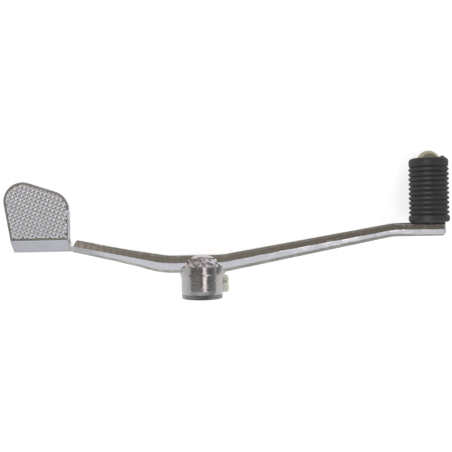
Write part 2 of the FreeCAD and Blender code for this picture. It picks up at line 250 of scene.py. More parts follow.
def tint(tree, value, dark, light):
    # straight run from the dark colour at 0 to the light colour at 1
    ramp = addNode(tree, "ShaderNodeValToRGB")
    ramp.color_ramp.elements[0].color = (*dark, 1)
    ramp.color_ramp.elements[1].color = (*light, 1)
    tree.links.new(value, ramp.inputs["Fac"])
    return ramp.outputs["Color"]


def blend(tree, factor, one, two, kind="MIX"):
    # colour mix; each of factor, one and two is a socket, a number or a colour
    mix = addNode(tree, "ShaderNodeMix", data_type="RGBA", blend_type=kind)
    for index, value in ((0, factor), (6, one), (7, two)):
        if isinstance(value, (float, tuple)):
            mix.inputs[index].default_value = (*value, 1) if index else value
        else:
            tree.links.new(value, mix.inputs[index])
    return mix.outputs[2]


def bump(tree, height, strength, distance, below=None):
    # normal tilted by the slope of a height, on top of another normal if one is given
    node = addNode(tree, "ShaderNodeBump")
    node.inputs["Strength"].default_value = strength
    node.inputs["Distance"].default_value = distance
    tree.links.new(height, node.inputs["Height"])
    if below:
        tree.links.new(below, node.inputs["Normal"])
    return node.outputs["Normal"]


# metal finishes; a cut is the range of noise over which a mark fades in, and lengths here are in metres
armLook = {
    "dark": (0.60, 0.59, 0.57), "light": (0.70, 0.70, 0.70),
    "cloudScale": 160, "cloudCut": (0.35, 0.7), "roughness": (0.09, 0.2),
    "scratchScale": 900, "scratchStretch": (0.12, 1, 1), "scratchDetail": 3.0, "scratchCut": (0.64, 0.70),
    "pitScale": 900, "pitCut": (0.06, 0.16), "sparseScale": 150, "sparseCut": (0.52, 0.58),
    "markRoughness": 0.3, "markStrength": 0.2, "markDepth": 0.0001,
    "waveScale": 220, "waveDetail": 2.0, "waveStrength": 0.1, "waveDepth": 0.0004,
}
padLook = dict(armLook, dark=(0.70, 0.705, 0.73), light=(0.82, 0.83, 0.865))
bossLook = dict(armLook, dark=(0.352, 0.342, 0.332), light=(0.45, 0.436, 0.432), roughness=(0.17, 0.28),
                waveScale=600, waveStrength=0.2, waveDepth=0.0003)
weldLook = dict(bossLook, dark=(0.46, 0.43, 0.44), light=(0.66, 0.62, 0.635), roughness=(0.12, 0.26),
                waveScale=500, waveDepth=0.00015)
pegLook = dict(armLook, dark=(0.24, 0.22, 0.15), light=(0.38, 0.355, 0.26), roughness=(0.2, 0.36))
zincLook = dict(armLook, dark=(0.50, 0.56, 0.52), light=(0.86, 0.82, 0.66), roughness=(0.2, 0.36),
                cloudScale=420)
# less bright below the chequering
plainFold = {"tint": (0.87, 0.86, 0.84), "span": (0.0, 0.001, 0.0341, 0.0347)}
# painted shade: a darker band round the boss's inboard end
paintedShadeBand = {"tint": (0.38, 0.38, 0.385), "span": (-0.00898, -0.0088, -0.0058, -0.0053)}


def chromeFinish(name, look, band=None):
    # plated metal: cloudy colour and roughness, fine scratches along the lever and sparse pits, both rougher
    # and sunk, and a faint wave under the plate; a band's tint multiplies the colour over a span of Y
    finish, tree, shader = newFinish(name)
    shader.inputs["Metallic"].default_value = 1.0
    cloud = objectNoise(tree, look["cloudScale"])
    scratch = objectNoise(tree, look["scratchScale"], look["scratchStretch"], look["scratchDetail"])
    scratch = spread(tree, scratch, *look["scratchCut"], 0.0, 1.0)
    pit = spread(tree, objectCells(tree, look["pitScale"]), *look["pitCut"], 1.0, 0.0)
    sparse = spread(tree, objectNoise(tree, look["sparseScale"]), *look["sparseCut"], 0.0, 1.0)
    marks = combine(tree, scratch, combine(tree, pit, sparse, "MULTIPLY"), "MAXIMUM")
    plain = spread(tree, cloud, *look["cloudCut"], *look["roughness"])
    rough = combine(tree, plain, spread(tree, marks, 0.0, 1.0, 0.0, look["markRoughness"]), "ADD")
    tree.links.new(rough, shader.inputs["Roughness"])
    colour = tint(tree, cloud, look["dark"], look["light"])
    if band:
        inside = within(tree, axes(tree, objectPlace(tree))["Y"], band["span"])
        colour = blend(tree, inside, colour, band["tint"], "MULTIPLY")
    tree.links.new(colour, shader.inputs["Base Color"])
    wave = objectNoise(tree, look["waveScale"], detail=look["waveDetail"])
    wave = bump(tree, wave, look["waveStrength"], look["waveDepth"])
    sunk = spread(tree, marks, 0.0, 1.0, 1.0, 0.0)
    fine = bump(tree, sunk, look["markStrength"], look["markDepth"], wave)
    tree.links.new(fine, shader.inputs["Normal"])
    return finish


armChrome = chromeFinish("armChrome", armLook)
padChrome = chromeFinish("padChrome", padLook, plainFold)
bossChrome = chromeFinish("bossChrome", bossLook, paintedShadeBand)
weldChrome = chromeFinish("weldChrome", weldLook)
pegSteel = chromeFinish("pegSteel", pegLook)
boltZinc = chromeFinish("boltZinc", zincLook)

# rubber finish, in metres about the peg's axis
rubberLook = {
    "dark": (0.054, 0.051, 0.0525), "light": (0.070, 0.0665, 0.0685),
    "cloudScale": 260, "cloudCut": (0.3, 0.7), "roughness": (0.55, 0.7), "specular": 0.35,
    "grainScale": 2600, "grainDetail": 2.0, "grainStrength": 0.3, "grainDepth": 0.0002,
    # the groove-floor colour is painted fill light, lightening the shade in the grooves
    "axis": 0.1571, "paintedGrooveLight": (0.12, 0.113, 0.117), "paintedGrooveLightSpan": (0.0116, 0.0130),
    # a lighter strip on the crests, left of the top, is a painted highlight
    "paintedCrestHighlight": (0.125, 0.125, 0.136), "paintedCrestHighlightSpan": (0.0129, 0.0133),
    "paintedCrestHighlightAcross": (-0.0085, -0.0055, -0.0045, -0.0015),
}


def rubberFinish(look):
    # moulded rubber: cloudy bloom on the colour and a fine grain on the surface; by the distance from the
    # peg's axis, painted fill light that lightens the groove floors and a painted highlight strip on the
    # crests
    finish, tree, shader = newFinish("sleeveRubber")
    cloud = objectNoise(tree, look["cloudScale"])
    grain = objectNoise(tree, look["grainScale"], detail=look["grainDetail"])
    mapping = addNode(tree, "ShaderNodeMapping")
    mapping.inputs["Location"].default_value = (-look["axis"], 0, 0)
    mapping.inputs["Scale"].default_value = (1, 0, 1)
    tree.links.new(objectPlace(tree), mapping.inputs["Vector"])
    offAxis = mapping.outputs["Vector"]
    away = addNode(tree, "ShaderNodeVectorMath", operation="LENGTH")
    tree.links.new(offAxis, away.inputs[0])
    # painted fill light: the colour is lighter towards the groove floors
    paintedGrooveLight = spread(tree, away.outputs["Value"], *look["paintedGrooveLightSpan"], 1.0, 0.0)
    crest = spread(tree, away.outputs["Value"], *look["paintedCrestHighlightSpan"], 0.0, 1.0)
    # painted highlight: lighter colour on the crests within a strip left of the peg's top
    paintedCrestHighlight = combine(tree, crest, within(tree, axes(tree, offAxis)["X"], look["paintedCrestHighlightAcross"]), "MULTIPLY")
    colour = tint(tree, spread(tree, cloud, *look["cloudCut"], 0.0, 1.0), look["dark"], look["light"])
    colour = blend(tree, paintedGrooveLight, colour, look["paintedGrooveLight"])
    tree.links.new(blend(tree, paintedCrestHighlight, colour, look["paintedCrestHighlight"]), shader.inputs["Base Color"])
    rough = spread(tree, cloud, *look["cloudCut"], *look["roughness"])
    tree.links.new(rough, shader.inputs["Roughness"])
    grainy = bump(tree, grain, look["grainStrength"], look["grainDepth"])
    tree.links.new(grainy, shader.inputs["Normal"])
    shader.inputs["Specular IOR Level"].default_value = look["specular"]
    return finish


sleeveRubber = rubberFinish(rubberLook)
print("finishes made")


# forged bar: a creased section carried along a plan path of straights and bends
barSizes = {
    "offset": 15.3, "rearBend": 24.8, "frontBend": 14.5, "toeBend": 131.0, "shoulder": 86.7,
    "heelRise": 12.4, "toeRise": 10.1, "bossRadius": 60.0, "toeRadius": 42.0,
    "bossWidth": 12.3, "bossDepth": 14.0, "heelWidth": 9.2, "heelDepth": 11.5,
    "toeWidth": 9.5, "toeDepth": 12.5, "heelSwell": 2.6, "crown": 9.0, "creaseRound": 0.5,
    "creaseAt": (-87, -60, -20, 40, 62, 95, 118, 170),
    "crease": (-0.5, 0.1, 0.8, 0.8, 0.6, 0.2, -0.1, -0.1),
    "bevelAt": (-87, -50, 20, 120, 150, 168), "bevelIn": (1.6, 2.0, 2.5, 2.5, 1.3, 1.0),
    "bevelOut": 1.5, "bevelAngle": 37.0, "bevelRound": 0.8, "bevelOutRound": 0.35,
    "shoulderRound": 2.2, "shoulderFall": 0.25, "easeRun": 30.0, "easeFall": 0.488,
    "tip": 167.1, "tipRound": 1.6, "tipCorner": 3.0,
    "step": 0.7, "endSteps": 16, "bendSteps": 16, "perArc": 5, "perSide": 6,
    "creaseWander": 0.12, "wanderSeed": 3, "wanderSize": 9.0,
    "forgeWave": 0.02, "waveSeed": 5, "waveSize": 14.0, "waveAround": 0.9,
}


def heelRiseOf(bar):
    # how far the heel arm's end stands off the middle's line: its run times its slope
    return (bar["shoulder"] - bar["rearBend"]) * math.tan(math.radians(bar["heelRise"]))


def barPath(s):
    # points and headings along straights joined by tangent arcs, with the width and depth at each
    toeLine = s["offset"] + (s["toeBend"] - s["frontBend"]) * math.tan(math.radians(s["toeRise"]))
    corners = np.array([(-s["shoulder"], s["offset"] + heelRiseOf(s)), (-s["rearBend"], s["offset"]),
                        (s["frontBend"], s["offset"]), (s["toeBend"], toeLine), (s["tip"], toeLine)])
    headings = np.radians([-s["heelRise"], 0.0, s["toeRise"], 0.0])
    radii = [s["bossRadius"], s["bossRadius"], s["toeRadius"]]
    cuts = [0] + [r * math.tan(abs(headings[k + 1] - headings[k]) / 2) for k, r in enumerate(radii)] + [0]
    heel, boss, toe = ((s[part + "Width"], s[part + "Depth"]) for part in ("heel", "boss", "toe"))
    sizes = [heel, boss, boss, toe, toe]
    places, turns, widths, depths = [], [], [], []
    for k in range(4):
        way = np.array([math.cos(headings[k]), math.sin(headings[k])])
        start, end = corners[k] + way * cuts[k], corners[k + 1] - way * cuts[k + 1]
        reach = np.linalg.norm(end - start)
        t = np.linspace(0, 1, int(reach / s["step"]))
        if k in (0, 3):  # closer stations where an end rolls over, spaced by a cosine
            close = (1 - np.cos(np.linspace(0, np.pi / 2, s["endSteps"]))) * s["tipRound"] / reach
            t = np.concatenate([close, t[t > close[-1]]])
            t = t if k == 0 else (1 - t)[::-1]
        swell = t ** (s["heelSwell"] if k == 0 else 1)
        places.append(start + (end - start) * t[:, None])
        turns.append(np.full(len(t), headings[k]))
        widths.append(sizes[k][0] + (sizes[k + 1][0] - sizes[k][0]) * swell)
        depths.append(sizes[k][1] + (sizes[k + 1][1] - sizes[k][1]) * t)
        if k < 3:  # arc about a centre to one side, from this heading to the next
            side = 1 if headings[k + 1] > headings[k] else -1
            centre = end + np.array([-way[1], way[0]]) * radii[k] * side
            arc = np.linspace(headings[k], headings[k + 1], s["bendSteps"])[1:-1]
            places.append(centre - np.stack([-np.sin(arc), np.cos(arc)], -1) * radii[k] * side)
            turns.append(arc)
            widths.append(np.full(len(arc), sizes[k + 1][0]))
            depths.append(np.full(len(arc), sizes[k + 1][1]))
    return tuple(np.concatenate(part) for part in (places, turns, widths, depths))


def forgedBar(s):
    # section at each station: a crease and a bevel on each side, mirrored top to bottom, with rounded
    # corners, set square to the path
    place, turn, width, depth = barPath(s)
    n = len(place)
    length = np.concatenate([[0], np.cumsum(np.linalg.norm(np.diff(place, axis=0), axis=1))])
    # quarter circles: on the outboard half of the heel end, and on the toe's inboard corner, top and bottom
    inset = quarterRound(length, s["shoulderRound"])
    fromTip = length[-1] - length
    halfOut = width / 2 - inset
    halfIn = width / 2 - quarterRound(fromTip, s["tipCorner"])
    high = depth / 2 - quarterRound(fromTip, s["tipRound"])
    bevelIn = np.interp(place[:, 0], s["bevelAt"], s["bevelIn"])
    crease = np.interp(place[:, 0], s["creaseAt"], s["crease"])
    crease = crease + s["creaseWander"] * ripple(length, 0 * length, s["wanderSeed"], s["wanderSize"])
    fall, steep = (math.tan(math.radians(s[name])) for name in ("crown", "bevelAngle"))
    outFlat, inFlat = halfOut - s["bevelOut"], halfIn - bevelIn
    outTop = high - s["shoulderFall"] * inset - (outFlat - crease) * fall
    inTop = high - (inFlat + crease) * fall
    outEdge, inEdge = outTop - s["bevelOut"] * steep, inTop - bevelIn * steep
    # towards the heel the inboard facets turn into the neck's single slope, by a cosine over the run
    ease = 0.5 + 0.5 * np.cos(np.pi * np.clip(length / s["easeRun"], 0, 1))
    inTop = inTop + (high - (inFlat + crease) * s["easeFall"] - inTop) * ease
    inEdge = inEdge + (high - (halfIn + crease) * s["easeFall"] - inEdge) * ease
    corners = np.stack([np.stack(p, -1) for p in (
        (crease, high), (outFlat, outTop), (halfOut, outEdge), (halfOut, -outEdge), (outFlat, -outTop),
        (crease, -high), (-inFlat, -inTop), (-halfIn, -inEdge), (-halfIn, inEdge), (-inFlat, inTop))], 1)
    radii = np.full(corners.shape[:2], s["bevelRound"])
    radii[:, [0, 5]] = s["creaseRound"]
    radii[:, [1, 4]] = s["bevelOutRound"]
    loop = roundedLoop(corners, radii, s["perArc"], s["perSide"])
    # hammered wave pulls the flats in a little, never out
    around = np.arange(loop.shape[1])[None, :] * s["waveAround"]
    wave = s["forgeWave"] * (1 + ripple(length[:, None], around, s["waveSeed"], s["waveSize"]))
    loop = loop * (1 - wave / np.linalg.norm(loop, axis=2))[..., None]
    across = np.stack([-np.sin(turn), np.cos(turn)], -1)
    grid = np.zeros((n, loop.shape[1], 3))
    grid[..., :2] = place[:, None, :] + across[:, None, :] * loop[..., :1]
    grid[..., 2] = loop[..., 1]
    return closedTube(grid)


# heel pad: web, fold and chequered pad as one bent plate
padSizes = {
    "length": 39.1, "depth": 38.7, "thick": 5.0, "front": 89.4, "setIn": 0.3, "drop": 0.5,
    "rearSlant": 9.7, "topSlope": 18.5, "rearRound": 13.3, "frontRound": 13.5,
    "fold": 8.3, "foldSlope": 26.0, "foldTop": 1.5, "foldFoot": 2.5, "foldInner": 0.3, "foldReach": 40.0,
    "pitch": 2.9, "angle": 70.3, "ridge": 0.5, "ridgeBase": 1.6, "ridgePower": 1.4, "ridgeFade": 0.8,
    "edge": 0.7, "edgeBelow": 0.4, "border": 1.7, "plainStrip": 2.2,
    "bevel": 1.7, "bevelAngle": 48.5, "bevelFrom": 50.6, "bevelFade": 2.4,
    "cell": 0.22, "rowShare": 0.8, "edgeEvery": 3, "clear": 0.05,
    "neck": 4.1, "neckFlare": 1.6, "neckSink": 1.6, "neckInset": 0.3, "neckInBar": 3.5, "neckTrim": 0.1,
    "neckSteps": 40, "outlineArc": 41, "outlineSide": 60, "foldArc": 12, "foldSide": 8,
}


def padPlaces(s, bar):
    # the few lines everything on the pad is set out from: the web's face, the pad's top and the web's foot
    halfWidth = bar["heelWidth"] / 2 / math.cos(math.radians(bar["heelRise"]))
    face = bar["offset"] + heelRiseOf(bar) - halfWidth + s["setIn"]
    return face, bar["heelDepth"] / 2 - s["drop"], -bar["heelDepth"] / 2


def padOutline(s, face):
    # rear side, top and front side of the pad in plan, split at the middle of each rounded corner
    slant, slope = math.tan(math.radians(s["rearSlant"])), math.tan(math.radians(s["topSlope"]))
    front, low = -s["front"], face + s["fold"] + s["foldTop"] * math.tan(math.radians(s["foldSlope"]) / 2)
    rear, frontTop = front - s["length"], face + s["depth"]
    rearTop = (frontTop + slope * (front - rear - slant * face)) / (1 - slope * slant)
    corners = np.array([[(rear - slant * (low - face), low), (rear - slant * (rearTop - face), rearTop),
                         (front, frontTop), (front, low)]])
    radii = np.array([[tiny, s["rearRound"], s["frontRound"], tiny]])
    perArc = s["outlineArc"]
    loop = roundedLoop(corners, radii, perArc, s["outlineSide"])[0]
    block = perArc + s["outlineSide"]
    midRear, midFront = block + perArc // 2, 2 * block + perArc // 2
    return loop[perArc - 1:midRear + 1], loop[midRear:midFront + 1], loop[midFront:3 * block + 1][::-1]


def evenly(line, count):
    # the same line with its points spaced evenly along it
    gone = np.concatenate([[0], np.cumsum(np.linalg.norm(np.diff(line, axis=0), axis=1))])
    want = np.linspace(0, gone[-1], count)
    return np.stack([np.interp(want, gone, line[:, 0]), np.interp(want, gone, line[:, 1])], -1)


def chequerHeight(x, y, s):
    # crossing ridges: the higher of two sets of ribs square to each other, each rib a power of a cosine arch
    turn = math.radians(s["angle"])
    lift = 0
    for way in (turn, turn + math.pi / 2):
        across = (x * math.cos(way) + y * math.sin(way)) / s["pitch"]
        off = np.abs(across - np.round(across)) * s["pitch"]
        rib = np.cos(np.pi * np.clip(off / s["ridgeBase"], 0, 0.5)) ** s["ridgePower"]
        lift = np.maximum(lift, rib)
    return s["ridge"] * lift


def foldRows(s, face, top, bottom):
    # section of the fold from the pad to the web's foot, outside and inside: a sloping flat between two
    # bends, and the same three lines moved in by the plate's thickness
    lean, t = math.radians(s["foldSlope"]), s["thick"]
    knee = top - s["fold"] * math.tan(lean)
    far = face + s["foldReach"]
    out = [(far, top), (face + s["fold"], top), (face, knee), (face, bottom), (far, bottom)]
    inTop = face + s["fold"] + t * math.tan(lean / 2)
    inKnee = knee - (t / math.cos(lean) - t * math.tan(lean))
    inn = [(far, top - t), (inTop, top - t), (face + t, inKnee), (face + t, bottom), (far, bottom)]
    radii = np.array([[tiny, s["foldTop"], s["foldFoot"], tiny, tiny],
                      [tiny, s["foldInner"], s["foldInner"], tiny, tiny]])
    loops = roundedLoop(np.array([out, inn]), radii, s["foldArc"], s["foldSide"])
    block = s["foldArc"] + s["foldSide"]
    return loops[:, block:3 * block + 1]


def heelPad(s, bar):
    # upper and lower skins of the pad, each carried on down the fold, stitched into one plate
    face, top, bottom = padPlaces(s, bar)
    rear, crest, front = padOutline(s, face)
    cols, rows = int(s["length"] / s["cell"]), int(s["depth"] * s["rowShare"] / s["cell"])
    rear, front, crest = evenly(rear, rows), evenly(front, rows), evenly(crest, cols)
    base = rear[0] + (front[0] - rear[0]) * np.linspace(0, 1, cols)[:, None]
    u = np.linspace(0, 1, cols)[None, :, None]
    v = np.linspace(0, 1, rows)[:, None, None]
    # patch between four edges: both straight blends added, less the blend of the four corners
    flat = ((1 - u) * rear[:, None] + u * front[:, None] + (1 - v) * base[None] + v * crest[None]
            - (1 - u) * (1 - v) * base[0] - u * (1 - v) * base[-1]
            - (1 - u) * v * crest[0] - u * v * crest[-1])
    # the rim rolls over by a quarter circle of the distance from the nearest edge
    edge = np.concatenate([rear, crest, front[::-1]])[::s["edgeEvery"]]
    gap = np.sqrt(((flat[:, :, None, :] - edge[None, None]) ** 2).sum(-1)).min(2)
    roll = quarterRound(gap, s["edge"])
    # the front edge is bevelled up to its rounded corner
    x, y = flat[..., 0], flat[..., 1]
    steep = math.tan(math.radians(s["bevelAngle"]))
    fade = np.clip((s["bevelFrom"] + s["bevelFade"] - y) / s["bevelFade"], 0, 1)
    inFront = -s["front"] - x
    bevel = np.clip(s["bevel"] - inFront, 0, None) * steep * fade
    # the ridges fade in past the rim, the plain strip at the fold and the bevel
    field = 1
    for depth in (gap - s["border"], y - face - s["fold"] - s["plainStrip"], inFront - s["bevel"] * fade):
        field = field * np.clip(depth / s["ridgeFade"], 0, 1)
    upper = np.zeros((rows, cols, 3))
    upper[..., :2] = flat
    upper[..., 2] = top - np.maximum(roll, bevel) + chequerHeight(x, y, s) * field
    outRows, inRows = foldRows(s, face, top, bottom)
    lower = upper.copy()
    lower[..., 1] = np.maximum(lower[..., 1], inRows[0, 0] + s["clear"])
    lower[..., 2] = top - s["thick"] + s["edgeBelow"] * roll
    slant = math.tan(math.radians(s["rearSlant"]))

    def bent(lines, cut):
        # rows of the fold stretched between the slanted rear edge and the front edge, bevelled if cut is 1
        left = -s["front"] - s["length"] - slant * (lines[:, 0] - face)
        x = left[:, None] + (-s["front"] - left)[:, None] * u[0, :, 0][None, :]
        fall = np.clip(s["bevel"] + s["front"] + x, 0, None) * steep * cut
        z = np.maximum(lines[:, 1:] - fall, bottom)
        return np.stack([x, np.repeat(lines[:, :1], cols, 1), z], -1)[::-1]

    outer = np.concatenate([bent(outRows[1:], 1), upper])
    inner = np.concatenate([bent(inRows[1:], 0), lower])
    return slab(outer, inner)


def padNeck(s, bar):
    # the web carried on to the bar: fold profile cut off at the neck's thickness, run along X, with its inner
    # corner flared by a quarter circle and its start drawn in so that it hides in the pad
    face, top, bottom = padPlaces(s, bar)
    slope = math.tan(math.radians(s["foldSlope"]))
    x = np.linspace(-s["front"] - s["neckSink"], -bar["shoulder"] + s["neckInBar"], s["neckSteps"])
    inside = np.clip((-s["front"] - x) / s["neckSink"], 0, 1) * s["neckInset"]
    flare = quarterRound(x + s["front"], s["neckFlare"])
    outRows = foldRows(s, face, top, bottom)[0][::-1]
    keep = outRows[outRows[:, 0] < face + s["neck"] - s["neckTrim"]]
    crown = top - (s["fold"] - s["neck"]) * slope
    section = np.concatenate([keep, [(face + s["neck"], crown), (face + s["neck"], bottom)]])
    away = section - section.mean(0)
    away = away / np.linalg.norm(away, axis=1, keepdims=True)
    grid = np.zeros((len(x), len(section), 3))
    grid[..., 0] = x[:, None]
    grid[..., 1:] = section[None] - inside[:, None, None] * away[None]
    grid[:, -2:, 1] += flare[:, None]
    grid[:, -2, 2] += flare * slope
    return closedTube(grid)


makePiece("leverBar", [forgedBar(barSizes), padNeck(padSizes, barSizes)], armChrome,
          "lever_arm", 22)
makePiece("heelPad", [heelPad(padSizes, barSizes)], padChrome, "lever_arm", 50)


# clamp boss: a slit ring whose outside is a barrel merged with a lug block below
bossSizes = {
    "radius": 14.2, "bore": 6.0, "slit": 2.0, "halfWidth": 13.2, "floor": 19.4, "lugRound": 4.0,
    "inboard": 9.0, "lugEnd": 7.95, "outboard": 13.15, "mouth": 0.8,
    "edgeRuns": (3.6, 1.9), "edgeSlopes": (35.0, 15.0), "edgeSide": 0.15, "edgePower": 0.5,
    "sideFlare": (1.4, 2.6), "flareFrom": 4.5, "flareTo": 9.15, "flareLevel": 0.7, "flarePower": 1.5,
    "around": 300, "edgeSteps": 5, "wallSteps": 14, "pastSteps": 8,
}


def bossOutside(angle, s):
    # distance from the bore's axis to the outside along each ray: the barrel, or the block below if more
    c, d = np.cos(angle), np.sin(angle)
    ray = np.minimum(s["halfWidth"] / np.maximum(np.abs(c), tiny), s["floor"] / np.maximum(-d, tiny))
    mx, mz = np.sign(c) * (s["halfWidth"] - s["lugRound"]), -(s["floor"] - s["lugRound"])
    lean = c * mx + d * mz
    arc = lean + np.sqrt(np.maximum(lean ** 2 - mx ** 2 - mz ** 2 + s["lugRound"] ** 2, 0))
    inCorner = (np.abs(ray * c) > np.abs(mx)) & (ray * d < mz)
    ray = np.where(inCorner, arc, ray)
    return np.maximum(s["radius"], np.where(d < 0, ray, 0))


def clampBoss(s):
    # section loop carried round from one side of the slit to the other: bore wall, flared mouth, end face,
    # two-step chamfer, outside wall and outboard end
    n, gap = s["around"], s["slit"] / 2
    lowIn, lowOut = math.asin(gap / s["bore"]), math.atan2(gap, s["floor"])
    inAngle, outAngle = (np.linspace(-np.pi / 2 + low, 1.5 * np.pi - low, n) for low in (lowIn, lowOut))
    reach = bossOutside(outAngle, s)
    steepRun, flatRun = s["edgeRuns"]
    steepFall, flatFall = np.array(s["edgeRuns"]) * np.tan(np.radians(s["edgeSlopes"]))
    stepY = np.concatenate([np.linspace(0, steepRun, s["edgeSteps"]),
                            steepRun + np.linspace(0, flatRun, s["edgeSteps"])[1:]])
    stepIn = np.interp(stepY, [0, steepRun, steepRun + flatRun], [steepFall + flatFall, flatFall, 0])
    inR = s["bore"] + np.array([0, 0, 0, s["mouth"]])
    inY = np.array([s["outboard"], 0, -s["inboard"] + s["mouth"], -s["inboard"]])
    wall = np.linspace(-s["inboard"] + stepY[-1], s["lugEnd"], s["wallSteps"])[1:]
    past = np.linspace(s["lugEnd"], s["outboard"], s["pastSteps"])  # beyond the lug only the barrel goes on
    outIn = np.concatenate([stepIn, np.zeros(len(wall))])
    outY = np.concatenate([stepY - s["inboard"], wall, past])
    # the chamfer is whole on top and slight at the sides, by a power of the height
    onTop = s["edgeSide"] + (1 - s["edgeSide"]) * np.clip(np.sin(outAngle), 0, 1) ** s["edgePower"]
    outer = reach[:, None] - onTop[:, None] * outIn[None, :]
    outer = np.concatenate([outer, np.full((n, len(past)), s["radius"])], 1)
    # both sides swell into the bar: a parabola along Y, strongest level with the bore
    swell = np.clip((outY - s["flareFrom"]) / (s["flareTo"] - s["flareFrom"]), 0, 1) ** 2
    level = np.clip(np.abs(np.cos(outAngle)) - s["flareLevel"], 0, 1) / (1 - s["flareLevel"])
    side = np.where(np.cos(outAngle) < 0, *s["sideFlare"]) * level ** s["flarePower"]
    outer = outer + swell[None, :] * side[:, None]
    radius = np.concatenate([np.repeat(inR[None, :], n, 0), outer], 1)
    along = np.concatenate([inY, outY])[None, :]
    angle = np.concatenate([np.repeat(inAngle[:, None], len(inY), 1),
                            np.repeat(outAngle[:, None], len(outY), 1)], 1)
    return closedTube(np.stack([radius * np.cos(angle), np.repeat(along, n, 0), radius * np.sin(angle)], -1))


makePiece("clampBoss", [clampBoss(bossSizes)], bossChrome, "clamp_boss", 35)


# weld: a lumpy skin over the seam between boss and bar, above and again below
weldSizes = {
    "halfX": 17.0, "middleX": 3.0, "runX": 14.0, "fromY": 9.9, "toY": 21.2, "rows": 90, "cols": 170,
    "barrel": 14.2, "roofDrop": 0.15, "slopeFrom": 9.2, "slope": 0.56,
    "barTop": 6.9, "barMiddle": 16.1, "crown": 0.158, "lift": 0.1, "blend": 1.2,
    "lump": 0.36, "lumpSize": 9.0, "grain": 0.02, "grainSize": 2.2,
    "pitPlace": (0.8, 14.2), "pitSize": 1.5, "pitDepth": 1.1,
    "sinkX": 1.1, "sinkY": 2.2, "sinkFrom": 0.25, "powerX": 2.2, "powerY": 5,
    "ragged": 0.2, "raggedSize": 11.0, "lowest": 3.0, "clear": 0.02, "underside": 2.5,
}


def weldSkin(s, side, seed):
    # height over the seam: a soft maximum of the barrel's roof, let down past its end, and the bar's crowned
    # top, plus lumps of two sizes, less one round pit; powers of the distance out sink the border under both
    x = np.linspace(-s["halfX"], s["halfX"], s["cols"])[None, :]
    y = np.linspace(s["fromY"], s["toY"], s["rows"])[:, None]
    roof = np.sqrt(np.clip(s["barrel"] ** 2 - x ** 2, 0, None)) - s["roofDrop"]
    roof = roof - s["slope"] * (y - s["slopeFrom"])
    top = s["barTop"] - s["crown"] * np.abs(y - s["barMiddle"]) + s["lift"]
    soft = s["blend"] * np.log(np.exp(roof / s["blend"]) + np.exp(top / s["blend"]))
    lumps = s["lump"] * ripple(x, y, seed, s["lumpSize"])
    lumps = lumps + s["grain"] * ripple(x, y, seed + 1, s["grainSize"])
    middle = (s["fromY"] + s["toY"]) / 2
    farX = np.abs((x - s["middleX"]) / s["runX"]) ** s["powerX"]
    farX = farX + s["ragged"] * ripple(x, y, seed + 2, s["raggedSize"])
    farY = np.abs((y - middle) / (s["toY"] - middle)) ** s["powerY"]
    fall = s["sinkX"] * np.clip(farX - s["sinkFrom"], 0, None) + s["sinkY"] * farY
    off = (x - s["pitPlace"][0]) ** 2 + (y - s["pitPlace"][1]) ** 2
    pit = s["pitDepth"] * np.exp(-off / s["pitSize"] ** 2)
    z = np.minimum(np.maximum(soft + lumps - fall - pit, s["lowest"]), s["barrel"] - s["clear"])
    upper = np.stack([x + 0 * y, y + 0 * x, z], -1)
    lower = upper.copy()
    lower[..., 2] = s["underside"]
    return slab(upper * (1, 1, side), lower * (1, 1, side))


makePiece("bossWeld", [weldSkin(weldSizes, 1, 21), weldSkin(weldSizes, -1, 31)],
          weldChrome, "boss_weld")


# toe peg
pegSizes = {
    "reach": 157.1, "inner": 31.3, "outer": 40.8, "pin": 5.45, "tenon": 3.0,
    "rivet": 3.7, "rivetDepth": 1.4, "rivetEdge": (0.5, 0.15),
    "head": 7.4, "headEdge": 0.3, "seat": 81.2, "rim": 84.8, "dome": 5.3, "domeEnd": 0.01,
    "domeSteps": 24, "turns": 64,
}


def toePeg(s):
    # half profile from the peened tail to the domed head, an arc through its rim and its top, carried round
    curve = (s["head"] ** 2 + s["dome"] ** 2) / 2 / s["dome"]
    lean = np.linspace(math.asin(s["head"] / curve), s["domeEnd"], s["domeSteps"])
    tail, seat = s["inner"], s["seat"]
    profile = np.array([
        (pole, tail), (s["rivet"] - s["rivetEdge"][0], tail), (s["rivet"], tail + s["rivetEdge"][1]),
        (s["tenon"], tail + s["rivetDepth"]), (s["tenon"], s["outer"]), (s["pin"], s["outer"]),
        (s["pin"], seat), (s["head"] - s["headEdge"], seat), (s["head"], seat + s["headEdge"])])
    radius = np.concatenate([profile[:, 0], curve * np.sin(lean)])
    along = np.concatenate([profile[:, 1], s["rim"] + s["dome"] - curve * (1 - np.cos(lean))])
    return closedTube(revolve(radius, along, (s["reach"], 0, 0), s["turns"]))


makePiece("toePeg", [toePeg(pegSizes)], pegSteel, "toe_peg", 40)


# rubber sleeve on the peg, and the mould's stub on its end
sleeveSizes = {
    "base": 40.8, "end": 84.8, "bore": 5.5, "boreEdge": 0.3, "valley": 11.6, "ridge": 13.35, "ridges": 10,
    "ridgePower": 0.75, "flange": 13.6, "flangeLength": 5.2, "flangePowers": (3, 0.6),
    "lip": 13.1, "lipLength": 6.2, "lipRise": 0.22, "lipRound": 2.4,
    "recess": 7.55, "recessFloor": 81.2, "recessEdge": (0.5, 0.4), "short": 0.001, "steps": 420, "turns": 96,
    "nub": 1.7, "nubHeight": 1.3, "nubSink": 1.2, "nubReach": 8.1, "nubRise": 4.5, "nubPower": 3,
    "nubSteps": 16, "nubTurns": 28,
}


